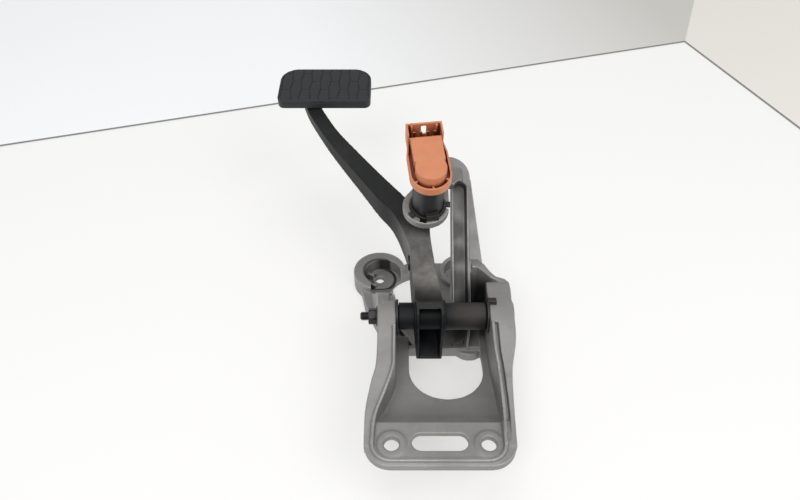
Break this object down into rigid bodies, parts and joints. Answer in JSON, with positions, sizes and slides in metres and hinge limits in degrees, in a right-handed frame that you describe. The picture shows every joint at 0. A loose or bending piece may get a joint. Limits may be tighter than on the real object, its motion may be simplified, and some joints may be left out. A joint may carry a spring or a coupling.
{
  "type": "brake pedal assembly",
  "caption": "Pedal hung in a die-cast bracket: hollow steel arm on a pivot tube, ribbed rubber pad, and a plunger switch with a connector socket.",
  "frame": {"origin": "midway between the two far stud holes, on the face that bolts to the bulkhead", "axes": "+Z away from the bulkhead towards the driver's side of the bracket, +Y from the top flange towards the pad, X along the pivot axis"},
  "size_m": [0.2245, 0.4158, 0.1973],
  "materials": {
    "casting": "as-cast grey die-cast surface with fine grain, bright rubbed edges",
    "coated_steel": "black electro-coated sheet steel, satin, lightly scuffed",
    "tube_steel": "black electro-coated tube, satin",
    "plain_steel": "plain turned steel",
    "dark_steel": "phosphated steel, matt",
    "bush_plastic": "black bearing plastic, matt",
    "pad_rubber": "black moulded rubber, matt with a soft sheen",
    "orange_plastic": "light orange moulded plastic, satin",
    "black_plastic": "black moulded plastic, satin",
    "contact_brass": "plain brass strip",
    "spring_steel": "bright spring wire"
  },
  "bodies": {
    "bracket_body": {"bracket": "casting", "pivot_spacer": "plain_steel", "left_bush": "bush_plastic", "right_bush": "bush_plastic", "pivot_bolt": "dark_steel", "pivot_nut": "plain_steel", "switch_housing": "orange_plastic", "switch_cover": "orange_plastic", "switch_barrel": "black_plastic", "barrel_clip": "black_plastic", "plunger_spring": "spring_steel", "fixed_contacts": "contact_brass", "connector_pins": "contact_brass"},
    "pedal_body": {"pedal_arm": "coated_steel", "pivot_tube": "tube_steel", "pushrod_sleeve": "plain_steel", "pad_plate": "dark_steel", "rubber_pad": "pad_rubber"},
    "plunger_body": {"switch_plunger": "black_plastic", "contact_bridge": "contact_brass"}
  },
  "joints": [
    {"name": "pedal_pivot", "type": "hinge", "parent": "bracket_body", "child": "pedal_body", "pos_m": [0.014, -0.1115, 0.075], "axis": [-1, 0, 0], "range_deg": [0, 18]},
    {"name": "plunger_slide", "type": "slide", "parent": "bracket_body", "child": "plunger_body", "axis": [0, 0.225, -0.9744], "range_m": [0, 0.004], "deforming": ["plunger_spring"]}
  ],
  "couplings": [
    {"joint": "plunger_slide", "follows": "pedal_pivot", "m_per_rad": 0.012732}
  ]
}
